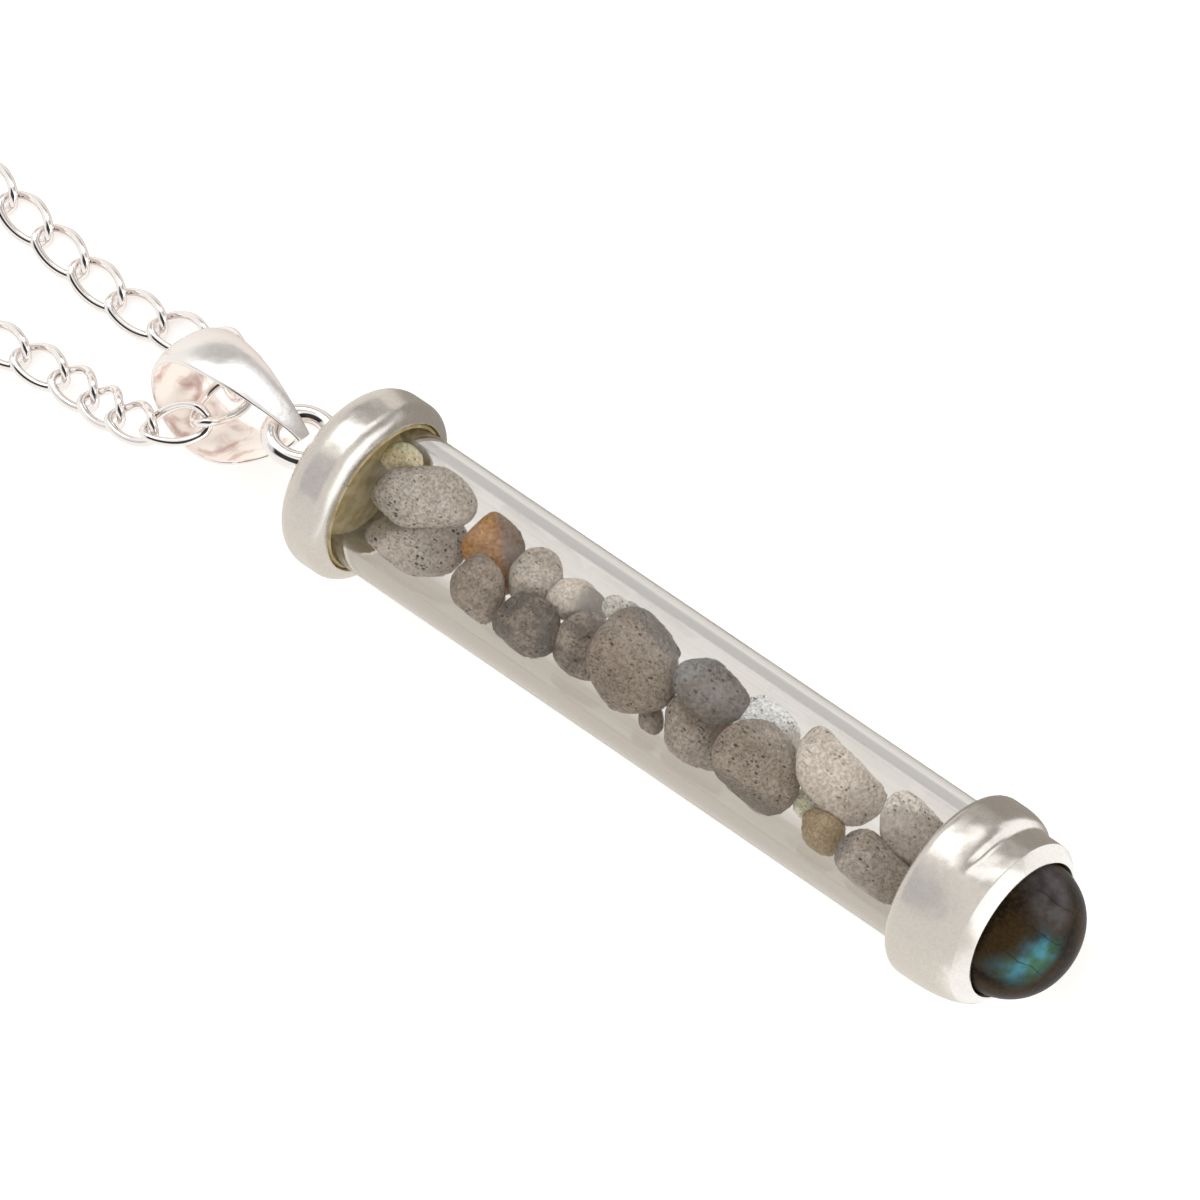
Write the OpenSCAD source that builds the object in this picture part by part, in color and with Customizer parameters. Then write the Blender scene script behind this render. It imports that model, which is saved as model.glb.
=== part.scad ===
// Bottle pendant: a glass tube of tumbled stone chips between two metal end caps.
// One cap carries a soldered ring with a folded bail and a curb chain, the other a set cabochon.
// The pendant lies on its side. X runs along the tube to the cabochon, Z is up, the surface is z = 0.
// All sizes are in millimetres.

/* [Glass tube] */
// Outer diameter of the tube
tube_d = 10; // [9:0.1:11]
// Thickness of the glass
tube_wall = 1; // [0.7:0.1:1.3]
// Length of glass that shows between the caps
glass_len = 46.7; // [40:0.1:60]
// How far the tube goes into each cap
seat_len = 2.8; // [2:0.1:3]
// Gap between the glass and the metal around it
fit_gap = 0.3; // [0.2:0.05:0.5]

/* [End caps] */
// Metal left around the tube, from the bore to the widest part of a cap
cap_wall = 1.05; // [0.8:0.05:1.6]
// Length of the upper cap from its lip to the edge of its domed back
upper_len = 3.9; // [3.7:0.1:6]
// Radius of the rounded back edge of the upper cap
back_round = 1.7; // [1:0.1:2.2]
// Rise of the domed back of the upper cap
back_rise = 0.8; // [0.3:0.1:1.5]
// Radius of the rounded lip of the lower cap
lip_round = 0.8; // [0.4:0.05:0.9]
// Length of the lower cap from its lip to the bezel
lower_len = 3.4; // [3.3:0.1:5]
// Drop of the lower cap's shoulder towards the bezel
shoulder_drop = 0.37; // [0.2:0.01:0.6]

/* [Bezel and cabochon] */
// Outer diameter of the bezel
bezel_d = 11.3; // [10.8:0.1:11.6]
// Length of the bezel from the cap's shoulder to its rim
bezel_len = 2.6; // [2:0.1:4]
// Height over which the bezel rolls in on the stone
rim_roll = 0.85; // [0.4:0.05:1.2]
// Diameter of the cabochon at its girdle
stone_d = 9.3; // [8.4:0.1:9.4]
// Height of the cabochon over the bezel's rim
stone_rise = 3.45; // [2.5:0.05:4.5]
// Gap between the cabochon and its bezel
stone_gap = 0.1; // [0.05:0.01:0.2]

/* [Ring] */
// Diameter of the soldered ring, across the middle of its wire
ring_d = 4; // [3.6:0.1:5]
// Thickness of the ring's wire
ring_wire = 1.24; // [1:0.02:1.3]
// Depth to which the ring is soldered into the cap's back
ring_sink = 0.15; // [0.1:0.05:0.3]

/* [Bail] */
// Length of the bail from its tip to its fold
bail_len = 12.1; // [11:0.1:13]
// Height of the bail's loop
bail_h = 7.6; // [7:0.1:8.4]
// Width of the band where it is widest
band_w = 4.2; // [3:0.1:4.6]
// Width of the band at its tip
tip_w = 1; // [0.8:0.1:1.2]
// Thickness of the band
band_t = 0.5; // [0.4:0.05:0.6]
// How far the middle of the band is domed outwards
band_dome = 0.3; // [0.1:0.05:0.4]

/* [Chain] */
// Length of a link
link_len = 4.8; // [4.7:0.05:4.9]
// Width of a link
link_w = 2.83; // [2.6:0.01:3]
// Thickness of a link's wire
link_wire = 0.44; // [0.42:0.01:0.5]
// Distance from link to link
pitch = 3.56; // [3.5:0.02:3.65]
// Diameter of the plain clasp
clasp_d = 2.4; // [2:0.1:3]

/* [Hidden] */
$fn = 48;
// Steps of a rounded corner and of the cabochon's dome
CORNER_STEPS = 8;
DOME_STEPS = 24;

// Room behind each end of the tube
seat_play = 0.1;
// Metal under the cabochon
cup_base = 0.3;
// Height of the cabochon's straight girdle, and the bevel at its foot
girdle_h = 1.2;
girdle_bevel = 0.2;
// Depth of the bezel's narrow mouth, and depth at which the cup reaches its full width
rim_edge = 0.15;
rim_taper = 0.6;
// Share of the lower cap's length, from the bezel, over which its shoulder drops
SHOULDER_SHARE = 0.5;
// Share of the lower cap's lip that the bevel at its mouth takes
MOUTH_SHARE = 0.2;
// Gap between the chain and the surface
lie_gap = 0.05;

// Angles of the ring and the bail, read from the photograph, in degrees
ring_roll = -38;
ring_lean = 6;
bail_swing = 15;
bail_twist = 3;
// Place of the bail's tip in the ring's hole, as shares of the ring's radius
TIP_PLACE = [0.175, -0.04, 0.15];
// Angles of the wire at a link's end and at its side, which make it a curb link
end_turn = 48;
side_turn = 20;

tube_r = tube_d / 2;
bore_r = tube_r - tube_wall;
cap_bore = tube_r + fit_gap;
cap_r = cap_bore + cap_wall;
seat_depth = seat_len + seat_play;
axis_z = cap_r;

// Places along the tube's axis, from the middle of the glass
upper_lip = -glass_len / 2;
upper_back = upper_lip - upper_len;
lower_lip = glass_len / 2;
bezel_foot = lower_lip + lower_len;
rim_x = bezel_foot + bezel_len;
ring_x = upper_back - back_rise + ring_sink - (ring_d + ring_wire) / 2 * cos(ring_lean);
ring_off = (ring_d + ring_wire) / 2 * sin(ring_lean);
stone_tip = rim_x + stone_rise;

function unit(v) = v / norm(v);

// Chain route and links

half_l = (link_len - link_wire) / 2;
half_w = (link_w - link_wire) / 2;
LINK_STATIONS = 10;
WIRE_SIDES = 5;

// A point on the arc that leaves a along ta and ends at b, at a share f of its length
function arc_point(a, ta, b, f) =
    let (v = b - a, n = unit(v - (v * ta) * ta), th = 2 * acos((v * ta) / norm(v)),
         r = norm(v) / (2 * sin(th / 2)))
    a + r * n * (1 - cos(th * f)) + r * ta * sin(th * f);

// Two arcs join the middle of a link's end to the middle of its side. A quarter of a link is its end
// and one point on each arc, and the rest is that quarter turned half a turn about each axis
P_END = [half_l, 0, 0];
T_END = [0, cos(end_turn), sin(end_turn)];
P_SIDE = [0, half_w, 0];
T_SIDE = [-cos(side_turn), 0, -sin(side_turn)];
arc_q = 2 * (1 - T_END * T_SIDE);
arc_v = P_SIDE - P_END;
arc_t = arc_v * (T_END + T_SIDE);
arc_reach = (-arc_t + sqrt(arc_t * arc_t + arc_q * (arc_v * arc_v))) / arc_q;
P_MEET = (P_END + P_SIDE + arc_reach * (T_END - T_SIDE)) / 2;
BEND_SHARE = 0.6;
Q1 = arc_point(P_END, T_END, P_MEET, BEND_SHARE);
Q2 = arc_point(P_SIDE, -T_SIDE, P_MEET, BEND_SHARE);
function about_x(p) = [p[0], -p[1], -p[2]];
function about_y(p) = [-p[0], p[1], -p[2]];
function about_z(p) = [-p[0], -p[1], p[2]];
LINK = [P_END, Q1, Q2, about_y(Q2), about_y(Q1),
        -P_END, about_z(Q1), about_z(Q2), about_x(Q2), about_x(Q1)];
LINK_POINTS = [for (i = [0:LINK_STATIONS - 1])
    let (p = LINK[i], after = LINK[(i + 1) % LINK_STATIONS],
         before = LINK[(i + LINK_STATIONS - 1) % LINK_STATIONS], t = unit(after - before),
         n = unit(p - (p * t) * t), b = cross(t, n))
    for (k = [0:WIRE_SIDES - 1])
        let (turn = 360 * k / WIRE_SIDES) p + link_wire / 2 * (n * cos(turn) + b * sin(turn))];
// Faces of a closed loop of rings
function loop_faces(rings, sides, first = 0) =
    [for (i = [0:rings - 1], j = [0:sides - 1]) each
        let (a = first + i * sides + j, b = first + i * sides + (j + 1) % sides,
             c = first + (i + 1) % rings * sides + j, d = first + (i + 1) % rings * sides + (j + 1) % sides)
        [[a, c, b], [b, c, d]]];
lie_z = lie_gap - min([for (p = LINK_POINTS) p[2]]);

// The chain's route, as a few chosen points: distance beyond the ring, distance to the side,
// and height over a chain that lies on the surface
ROUTE = [
    [-8.3, -3.8, 5], [-6.9, -1.8, 4.5], [-6.9, 0.6, 3.2], [-8.8, 2.2, 1.6], [-11.6, 2, 0.5],
    [-14.4, 1.2, 0.1], [-19, 0.8, 0], [-23, 1.2, 0], [-30.6, 2.2, 0], [-53.6, 6, 0], [-88.6, 18, 0],
    [-128.6, 31, 0], [-171.6, 35, 0], [-199.6, 20, 0], [-207.6, -3, 1], [-196.6, -26, 0],
    [-168.6, -40, 0], [-128.6, -36, 0], [-88.6, -22, 0], [-53.6, -11, 0], [-30.6, -6.2, 0],
    [-23, -5.5, 0.1], [-20, -5.2, 0.5], [-17, -5.2, 1.5], [-14, -5.2, 2.9], [-12.2, -5.1, 3.9],
    [-10.3, -4.9, 4.7]
];
ROUTE_STEPS = 16;
route_n = len(ROUTE);
function route_at(i) = let (p = ROUTE[(i + route_n) % route_n]) [p[0] + ring_x, p[1], p[2] + lie_z];
// Smooth curve through the points, with each tangent weighted by the spans beside it
function slope(a, b, c) = let (d0 = norm(b - a), d1 = norm(c - b))
    ((b - a) / d0 * d1 + (c - b) / d1 * d0) / (d0 + d1);
function curve(i, t) =
    let (a = route_at(i - 1), b = route_at(i), c = route_at(i + 1), d = route_at(i + 2), s = norm(c - b),
         m0 = slope(a, b, c) * s, m1 = slope(b, c, d) * s,
         p = (2 * t * t * t - 3 * t * t + 1) * b + (t * t * t - 2 * t * t + t) * m0
             + (3 * t * t - 2 * t * t * t) * c + (t * t * t - t * t) * m1)
    [p[0], p[1], max(p[2], lie_z)];
PATH = [for (i = [0:route_n - 1], k = [0:ROUTE_STEPS - 1]) curve(i, k / ROUTE_STEPS), route_at(0)];
PATH_S = [for (i = 0, s = 0; i < len(PATH);
               i = i + 1, s = s + (i < len(PATH) ? norm(PATH[i] - PATH[i - 1]) : 0)) s];
chain_len = PATH_S[len(PATH_S) - 1];
TABLES = [for (axis = [0:2]) [for (i = [0:len(PATH) - 1]) [PATH_S[i], PATH[i][axis]]]];
function along(s) =
    let (w = s - floor(s / chain_len) * chain_len)
    [for (axis = [0:2]) lookup(w, TABLES[axis])];
links_n = round(chain_len / pitch);
step = chain_len / links_n;

// A link's middle and the directions of its length, its width and its height
function link_frame(i) =
    let (a = along(i * step - pitch / 2), b = along(i * step + pitch / 2), t = unit(b - a),
         n = unit([0, 0, 1] - t[2] * t))
    [(a + b) / 2, t, cross(n, t), n];
function set_link(i) =
    let (f = link_frame(i))
    [for (p = LINK_POINTS) f[0] + p[0] * f[1] + p[1] * f[2] + p[2] * f[3]];

// The clasp takes the place of a few links at the far end of the loop
CLASP_LINKS = 5;
clasp_first = round((links_n - CLASP_LINKS) / 2);
clasp_last = clasp_first + CLASP_LINKS - 1;
// The barrel runs between the links at its ends, and takes in the inner bend of each
CLASP_A = link_frame(clasp_first)[0];
CLASP_B = link_frame(clasp_last)[0];
clasp_way = unit(CLASP_B - CLASP_A);
clasp_end = half_l - link_wire + clasp_d / 2;
clasp_back = min(CLASP_A[0] + clasp_way[0] * clasp_end, CLASP_B[0] - clasp_way[0] * clasp_end)
             - clasp_d / 2;

// Middle of the whole piece's box
LINKS = [for (i = [0:links_n - 1]) set_link(i)];
links_back = min([for (i = [0:links_n - 1]) if (i <= clasp_first || i >= clasp_last) each
                     [for (p = LINKS[i]) p[0]]]);
mid_x = (min(clasp_back, links_back) + stone_tip) / 2;
mid_y = (min([for (l = LINKS, p = l) p[1]]) + max([for (l = LINKS, p = l) p[1]])) / 2;

module placed() {
    translate([-mid_x, -mid_y, 0]) children();
}

// Turns a profile of distance along the axis and radius into a solid about the tube's axis
module turned(profile) {
    placed()
        translate([0, 0, axis_z])
            rotate([0, 90, 0])
                rotate_extrude()
                    polygon([for (p = profile) [p[1], p[0]]]);
}

// A quarter round in a profile, about x and r, with its half sizes and its first and last angle
function corner(x, r, rx, rr, from, to) =
    [for (k = [0:CORNER_STEPS])
        let (t = from + (to - from) * k / CORNER_STEPS) [x + rx * cos(t), r + rr * sin(t)]];

// Pendant

module glass_tube() {
    color([0.9, 0.93, 0.94, 0.35])
        turned([[upper_lip - seat_len, bore_r], [lower_lip + seat_len, bore_r],
                [lower_lip + seat_len, tube_r], [upper_lip - seat_len, tube_r]]);
}

dome_r = cap_r - back_round;
upper_profile = concat(
    [for (k = [0:CORNER_STEPS])
        let (f = k / CORNER_STEPS) [upper_back - back_rise * (1 + cos(180 * f)) / 2, dome_r * f]],
    corner(upper_back + back_round, dome_r, back_round, back_round, 180, 90),
    corner(upper_lip - cap_wall, cap_bore, cap_wall, cap_wall, 90, 0),
    [[upper_lip - seat_depth, cap_bore], [upper_lip - seat_depth, 0]]);

module solder_ring() {
    placed()
        translate([0, 0, axis_z])
            rotate([ring_roll, 0, 0])
                translate([ring_x, 0, ring_off])
                    rotate([0, ring_lean, 0])
                        rotate_extrude()
                            translate([ring_d / 2, 0])
                                circle(d = ring_wire);
}

module upper_cap() {
    color("silver") {
        turned(upper_profile);
        solder_ring();
    }
}

shoulder_r = cap_r - shoulder_drop;
stone_r = stone_d / 2;
cup_r = stone_r + stone_gap;
cup_floor = bezel_foot + cup_base;
stone_foot = cup_floor + stone_gap;
// The dome rises from the girdle to the tip on a slightly squared ellipse
dome_foot = stone_foot + girdle_h;
dome_len = stone_tip - dome_foot;
dome_power = 2.2;
function dome_radius(x) =
    stone_r * pow(1 - pow(max(0, (x - dome_foot) / dome_len), dome_power), 1 / dome_power);
rim_in = dome_radius(rim_x) + stone_gap;
bezel_r = bezel_d / 2;
shoulder_len = lower_len * SHOULDER_SHARE;

lower_profile = concat(
    [[lower_lip + lip_round * MOUTH_SHARE, cap_bore]],
    corner(lower_lip + lip_round, cap_r - lip_round, lip_round, lip_round, 180, 90),
    corner(bezel_foot - shoulder_len, shoulder_r, shoulder_len, shoulder_drop, 90, 0),
    [[bezel_foot, bezel_r]],
    corner(rim_x - rim_roll, rim_in, rim_roll, bezel_r - rim_in, 90, 0),
    [[rim_x - rim_edge, rim_in], [rim_x - rim_taper, cup_r], [cup_floor, cup_r], [cup_floor, 0],
     [lower_lip + seat_depth, 0], [lower_lip + seat_depth, cap_bore]]);

module lower_cap() {
    color("silver")
        turned(lower_profile);
}

module cabochon() {
    color([0.16, 0.14, 0.1])
        turned(concat(
            [[stone_foot, 0], [stone_foot, stone_r - girdle_bevel], [stone_foot + girdle_bevel, stone_r]],
            [for (k = [0:DOME_STEPS])
                let (x = dome_foot + dome_len * sin(90 * k / DOME_STEPS))
                [x, k == DOME_STEPS ? 0 : dome_radius(x)]]));
}

// Chips

// The chips are drawn in a bed that reaches BED[0] units from its middle to each end and has a radius
// of BED[1] units, and the bed is then stretched to the real bore. They are drawn as they look from
// over the tube, from a direction that leans towards the cabochon, and with the tube turned on the
// sheet. Columns: the middle's place to the right and up on the sheet and its height over the tube's
// axis, half thickness, colour, and how far the chip reaches to the right, to the upper right, up,
// and so on round in eighths of a turn
BED = [425, 65];
SIGHT_LEAN = 26;
SHEET_TURN = 34;
// How far the sheet's middle lies from the bed's middle, towards the cabochon
SHEET_START = 15;
CHIPS = [
    [-254,  196,   6, 20, 0, 57, 44, 30, 42, 57, 37, 29, 50],
    [-263,  149, -28, 21, 0, 57, 50, 30, 45, 55, 32, 34, 47],
    [-273,  236,  -6, 15, 1, 20, 18, 17, 20, 25, 20, 20, 20],
    [-251,  194, -42, 15, 0, 40, 30, 20, 30, 40, 30, 20, 30],
    [-181,  149, -34, 18, 2, 32, 31, 37, 27, 32, 32, 56, 46],
    [-198,  102, -10, 19, 0, 28, 32, 42, 29, 26, 24, 35, 33],
    [-138,  119, -30, 22, 3, 28, 31, 28, 24, 27, 35, 28, 24],
    [-148,   66, -12, 17, 4, 34, 33, 31, 34, 34, 26, 33, 36],
    [ -98,   94, -40, 15, 3, 36, 24, 22, 25, 30, 26, 22, 35],
    [ -94,   46, -37, 17, 5, 35, 38, 35, 28, 27, 30, 36, 37],
    [ -41,   34,  -4, 29, 5, 46, 47, 50, 43, 45, 55, 54, 58],
    [ -57,   88,  -9, 12, 4, 16, 12, 10, 12, 14, 14, 14, 14],
    [ -16,   69, -44, 13, 4, 43, 16, 27, 40, 42, 34, 36, 42],
    [ -22,  -30, -42, 11, 0, 12, 16, 20, 16, 13, 15, 20, 14],
    [  26,  -44, -38, 19, 5, 34, 40, 45, 45, 38, 33, 44, 50],
    [  41,    4,  -6, 18, 4, 37, 24, 29, 41, 41, 30, 35, 39],
    [  99,  -33, -38, 18, 3, 30, 24, 33, 37, 32, 30, 36, 39],
    [  86,  -76, -10, 21, 5, 41, 42, 48, 50, 45, 34, 50, 49],
    [ 169,  -76, -26, 24, 3, 48, 20, 49, 51, 44, 41, 56, 58],
    [ 132, -112, -47,  9, 1, 15, 12, 17, 14, 12, 13, 18, 13],
    [ 149, -141, -37, 20, 1, 23, 25, 25, 28, 20, 20, 25, 25],
    [ 201, -174, -24, 24, 0, 46, 26, 39, 45, 39, 27, 41, 52],
    [ 244, -134, -29, 24, 4, 36, 24, 38, 41, 36, 34, 39, 45],
    [ 287, -179, -29, 24, 0, 30, 26, 30, 32, 32, 30, 30, 28]
];
// Column of the first reach
REACH = 5;
CHIP_COLOURS = [[0.62, 0.59, 0.54], [0.62, 0.57, 0.4], [0.72, 0.46, 0.22], [0.75, 0.71, 0.67],
                [0.46, 0.46, 0.46], [0.52, 0.47, 0.42]];
CHIP_RINGS = 6;
CHIP_SIDES = 9;
// How close a chip may come to the glass, as a share of the bore's radius
CHIP_REACH = 0.98;
// Squareness of a chip's outline on the sheet, and of its edge
FLANK_POWER = 9;
EDGE_POWER = 2.5;

// A place on the sheet, with its height towards the eye, in the bed's own directions
function off_sheet(p) =
    let (a = p[0] * cos(SHEET_TURN) - p[1] * sin(SHEET_TURN),
         b = p[0] * sin(SHEET_TURN) + p[1] * cos(SHEET_TURN))
    [a * cos(SIGHT_LEAN) + p[2] * sin(SIGHT_LEAN), b, p[2] * cos(SIGHT_LEAN) - a * sin(SIGHT_LEAN)];
// How far a chip reaches in a direction that is given on the sheet
function chip_reach(u, c) =
    let (sides = [for (k = [0:7])
                      let (facing = u[0] * cos(45 * k) + u[1] * sin(45 * k))
                      pow(max(0, facing / c[REACH + k]), FLANK_POWER)],
         flank = pow(sides * [for (k = [0:7]) 1], 1 / FLANK_POWER))
    pow(pow(flank, EDGE_POWER) + pow(abs(u[2]) / c[3], EDGE_POWER), -1 / EDGE_POWER);
// A point of a chip's skin in the bore, where the glass flattens what would pass through it
function chip_point(u, c) =
    let (foot = off_sheet([c[0], c[1], 0]),
         p = off_sheet([c[0], c[1], (c[2] - foot[2]) / cos(SIGHT_LEAN)] + u * chip_reach(u, c)),
         held = min(1, CHIP_REACH * BED[1] / norm([p[1], p[2]])) * bore_r / BED[1])
    [(p[0] + SHEET_START) * (glass_len / 2 + seat_len) / BED[0], p[1] * held, p[2] * held + axis_z];

module chip(i) {
    c = CHIPS[i];
    pts = [for (k = [1:CHIP_RINGS], j = [0:CHIP_SIDES - 1])
               let (lat = 90 - 180 * k / (CHIP_RINGS + 1), lon = 360 * j / CHIP_SIDES)
               chip_point([cos(lat) * cos(lon), cos(lat) * sin(lon), sin(lat)], c)];
    n = len(pts);
    walls = [for (i = [0:CHIP_RINGS - 2], j = [0:CHIP_SIDES - 1]) each
                 let (a = i * CHIP_SIDES + j, b = i * CHIP_SIDES + (j + 1) % CHIP_SIDES,
                      c = a + CHIP_SIDES, d = b + CHIP_SIDES)
                 [[a, b, c], [b, d, c]]];
    ends = [for (j = [0:CHIP_SIDES - 1]) each
                [[n, (j + 1) % CHIP_SIDES, j],
                 [n + 1, n - CHIP_SIDES + j, n - CHIP_SIDES + (j + 1) % CHIP_SIDES]]];
    color(CHIP_COLOURS[c[4]])
        placed()
            polyhedron(concat(pts, [chip_point([0, 0, 1], c), chip_point([0, 0, -1], c)]),
                       concat(walls, ends));
}

// Bail

bail_steps = 20;
BAND_POINTS = 10;
// The outside of the loop is a pointed teardrop and its inside a rounder one
OUTER_POWER = 0.85;
INNER_POWER = 0.76;
// Half of a teardrop's height at a share of its length, for a teardrop of the given half height
function teardrop(s, h, power) =
    let (peak = sqrt(power / (power + 1)))
    h * pow(s / peak, power) * sqrt(max(0, 1 - s * s)) / sqrt(1 - peak * peak);
function band_half(s) = (tip_w + (band_w - tip_w) * pow(sin(90 * min(1, s / 0.7)), 1.1)) / 2;
// Five points across the outside of the band and five across its inside
function band_ring(s, side) =
    let (w = band_half(s), dome = band_dome * min(1, s * 2), inner_len = bail_len - 2 * band_t,
         po = [-bail_len * s, side * teardrop(s, bail_h / 2, OUTER_POWER)],
         pi = [-band_t - inner_len * s, side * teardrop(s, bail_h / 2 - band_t, INNER_POWER)],
         o = norm(po - pi) < 0.01 ? [-1, 0] : unit(po - pi))
    [for (f = [-1:0.5:1]) let (b = o * dome * (1 - f * f)) [po[0] + b[0], w * f, po[1] + b[1]],
     for (f = [1:-0.5:-1]) let (b = o * dome * (1 - f * f)) [pi[0] + b[0], w * f, pi[1] + b[1]]];

module bail() {
    turns = [for (k = [0:bail_steps]) [sin(90 * k / bail_steps), 1],
             for (k = [bail_steps - 1:-1:1]) [sin(90 * k / bail_steps), -1]];
    n = len(turns);
    pts = [for (t = turns) each band_ring(t[0], t[1])];
    color("silver")
        placed()
            translate([0, 0, axis_z])
                rotate([ring_roll, 0, 0])
                    translate([ring_x + TIP_PLACE[0] * ring_d / 2, TIP_PLACE[1] * ring_d / 2,
                               ring_off + TIP_PLACE[2] * ring_d / 2])
                        rotate([0, -bail_swing, 0])
                            rotate([0, 0, -bail_twist])
                                polyhedron(pts, loop_faces(n, BAND_POINTS));
}

// Chain and clasp

CHAIN_LINKS = [for (i = [0:links_n - 1]) if (i < clasp_first || i > clasp_last) i];

module chain() {
    link_points = LINK_STATIONS * WIRE_SIDES;
    color("silver")
        placed()
            polyhedron([for (i = CHAIN_LINKS) each LINKS[i]],
                       [for (i = [0:len(CHAIN_LINKS) - 1]) each
                           loop_faces(LINK_STATIONS, WIRE_SIDES, i * link_points)]);
}

module clasp() {
    t = clasp_way;
    n = unit([0, 0, 1] - t[2] * t);
    s = cross(n, t);
    a = CLASP_A;
    r = clasp_d / 2;
    profile = concat(corner(clasp_end, 0, r, r, 180, 90),
                     corner(norm(CLASP_B - CLASP_A) - clasp_end, 0, r, r, 90, 0));
    color("silver")
        placed() {
            for (i = [clasp_first, clasp_last])
                polyhedron(LINKS[i], loop_faces(LINK_STATIONS, WIRE_SIDES));
            multmatrix([[s[0], n[0], t[0], a[0]], [s[1], n[1], t[1], a[1]], [s[2], n[2], t[2], a[2]]])
                rotate_extrude()
                    polygon([for (p = profile) [p[1], p[0]]]);
        }
}

glass_tube();
upper_cap();
lower_cap();
cabochon();
bail();
chain();
clasp();
for (i = [0:len(CHIPS) - 1])
    chip(i);
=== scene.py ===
import math

import bmesh
import bpy
import numpy as np
from mathutils import Matrix, Vector


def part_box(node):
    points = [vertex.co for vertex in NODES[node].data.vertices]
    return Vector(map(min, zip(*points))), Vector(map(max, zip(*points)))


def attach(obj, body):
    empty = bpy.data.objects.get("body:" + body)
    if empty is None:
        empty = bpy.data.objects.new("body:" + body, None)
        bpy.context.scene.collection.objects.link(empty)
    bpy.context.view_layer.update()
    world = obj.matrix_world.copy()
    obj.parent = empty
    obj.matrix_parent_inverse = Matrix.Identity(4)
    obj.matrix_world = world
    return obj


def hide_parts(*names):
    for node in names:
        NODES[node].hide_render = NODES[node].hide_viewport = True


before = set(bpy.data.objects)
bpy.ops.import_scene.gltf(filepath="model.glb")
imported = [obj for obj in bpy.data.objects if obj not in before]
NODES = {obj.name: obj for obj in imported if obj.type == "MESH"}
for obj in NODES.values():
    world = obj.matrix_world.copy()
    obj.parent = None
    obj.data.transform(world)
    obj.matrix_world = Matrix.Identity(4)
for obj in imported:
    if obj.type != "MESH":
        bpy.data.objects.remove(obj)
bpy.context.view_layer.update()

MM = 0.001

# Places, in millimetres
# The tube's axis runs along X. Pieces are made in pendant places: x from the middle of the glass,
# y and z from the axis. ORIGIN is where that middle lies in the shared frame.
low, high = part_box("glass_tube")
ORIGIN = np.array((low + high) / 2) / MM
GLASS_END = (high.x - low.x) / MM / 2
TUBE_R = (high.z - low.z) / MM / 2
GLASS_WALL = 1
BORE_R = TUBE_R - GLASS_WALL
SEAT_LEN = 2.8
LIP = GLASS_END - SEAT_LEN
CAP_R = ORIGIN[2]
CAP_WALL = 1.05
CAP_BORE = CAP_R - CAP_WALL


def unit(v):
    """The vector at a length of 1."""
    v = np.asarray(v, float)
    return v / np.linalg.norm(v)


# Mesh helpers
def mesh_piece(name, points, faces, sharp=None):
    """A smooth mesh from points in millimetres in the shared frame."""
    mesh = bpy.data.meshes.new(name)
    mesh.from_pydata([tuple(p) for p in np.asarray(points) * MM], [], faces)
    bm = bmesh.new()
    bm.from_mesh(mesh)
    inside_out = len(faces) > 1 and bm.calc_volume(signed=True) < 0
    bm.free()
    if inside_out:
        mesh.flip_normals()
    mesh.polygons.foreach_set("use_smooth", [True] * len(mesh.polygons))
    if sharp:
        mesh.set_sharp_from_angle(angle=math.radians(sharp))
    mesh.update()
    piece = bpy.data.objects.new(name, mesh)
    bpy.context.scene.collection.objects.link(piece)
    return piece


def grid_faces(rows, cols, closed_rows=False):
    """Faces between rows of points, each row a closed ring of cols points."""
    out = []
    for i in range(rows if closed_rows else rows - 1):
        for j in range(cols):
            a, b = i * cols + j, i * cols + (j + 1) % cols
            c, d = (i + 1) % rows * cols + j, (i + 1) % rows * cols + (j + 1) % cols
            out.append((a, b, d, c))
    return out


def arc(x, r, rx, rr, start, end, n=14):
    """Points of an elliptic arc about (x, r), from one angle in degrees to another."""
    turns = [math.radians(start + (end - start) * k / n) for k in range(n + 1)]
    return [(x + rx * math.cos(t), r + rr * math.sin(t)) for t in turns]


def split_long(profile, longest=0.7):
    """The profile with its long straight runs cut into shorter ones."""
    out = [profile[0]]
    for a, b in zip(profile, profile[1:]):
        n = max(1, int(math.hypot(b[0] - a[0], b[1] - a[1]) / longest))
        out += [(a[0] + (b[0] - a[0]) * k / n, a[1] + (b[1] - a[1]) * k / n) for k in range(1, n + 1)]
    return out


def lathe(profile, sides=144, closed=False):
    """Points and faces of a profile of (x, radius) turned about the tube's axis."""
    points, rows = [], []
    for k, (x, r) in enumerate(profile):
        if r < 1e-6:
            rows.append([len(points)])
            points.append((x, 0, 0))
            continue
        rows.append(list(range(len(points), len(points) + sides)))
        for j in range(sides):
            t = 2 * math.pi * j / sides
            points.append((x, r * math.cos(t), r * math.sin(t)))
    faces = []
    pairs = list(zip(rows, rows[1:])) + ([(rows[-1], rows[0])] if closed else [])
    for a, b in pairs:
        for j in range(sides):
            k = (j + 1) % sides
            if len(a) == 1 and len(b) == 1:
                continue
            if len(a) == 1:
                faces.append((a[0], b[j], b[k]))
            elif len(b) == 1:
                faces.append((a[j], b[0], a[k]))
            else:
                faces.append((a[j], b[j], b[k], a[k]))
    return np.array(points), faces


def place(points):
    """Points of the pendant's own frame in the shared frame."""
    return np.asarray(points) + ORIGIN


def joined(*parts):
    """One list of points and one of faces from several pairs."""
    points, faces, first = [], [], 0
    for p, f in parts:
        points.append(np.asarray(p))
        faces += [tuple(i + first for i in face) for face in f]
        first += len(p)
    return np.concatenate(points), faces


def about(axis, degrees):
    """The rotation matrix of a turn about one axis."""
    return np.array(Matrix.Rotation(math.radians(degrees), 3, axis))


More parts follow.
